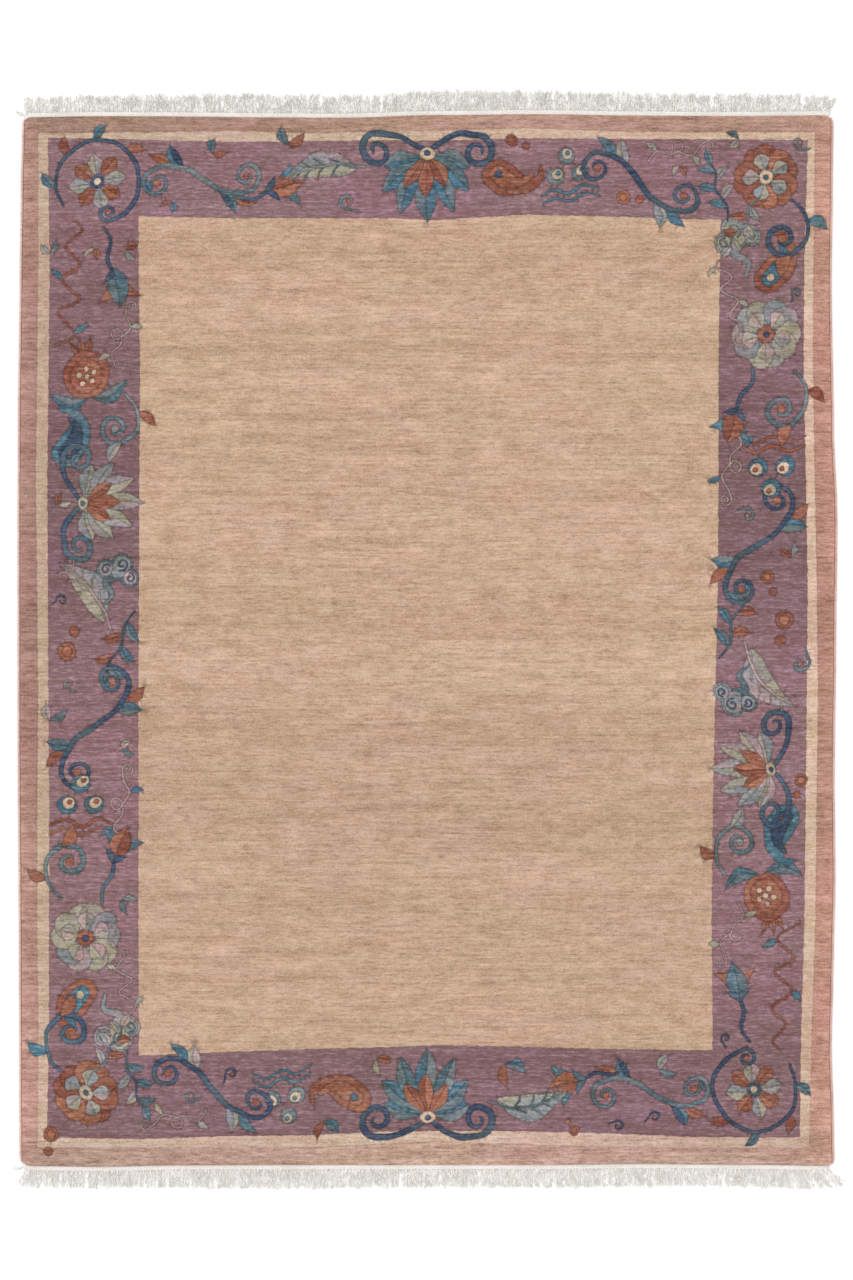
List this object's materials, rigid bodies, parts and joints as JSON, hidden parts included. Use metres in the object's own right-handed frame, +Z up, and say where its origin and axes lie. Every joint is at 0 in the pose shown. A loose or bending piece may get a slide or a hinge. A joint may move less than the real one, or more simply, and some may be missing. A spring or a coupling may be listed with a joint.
{
  "type": "hand-knotted wool area rug",
  "caption": "Rectangular knotted wool rug with a plain streaked field, a wide patterned border, overcast sides and a cotton fringe at both ends.",
  "frame": {"origin": "middle of the rug's footprint, fringes and side cords included, at the underside that lies on the floor", "axes": "+Y along the rug's length, towards the far fringe; +X across it, to the right; +Z up, out of the pile"},
  "size_m": [2.3898, 3.1902, 0.012],
  "materials": {
    "pile_wool": "clipped matt wool pile, beige field with weft-wise dye streaks and a mauve-brown border",
    "cord_wool": "matt pinkish brown wool wrapped round the side cords",
    "fringe_cotton": "matt off-white cotton yarn"
  },
  "bodies": {
    "root": {"knotted_pile": "pile_wool", "side_cord_left": "cord_wool", "side_cord_right": "cord_wool", "fringe_far": "fringe_cotton", "fringe_near": "fringe_cotton"}
  },
  "joints": []
}
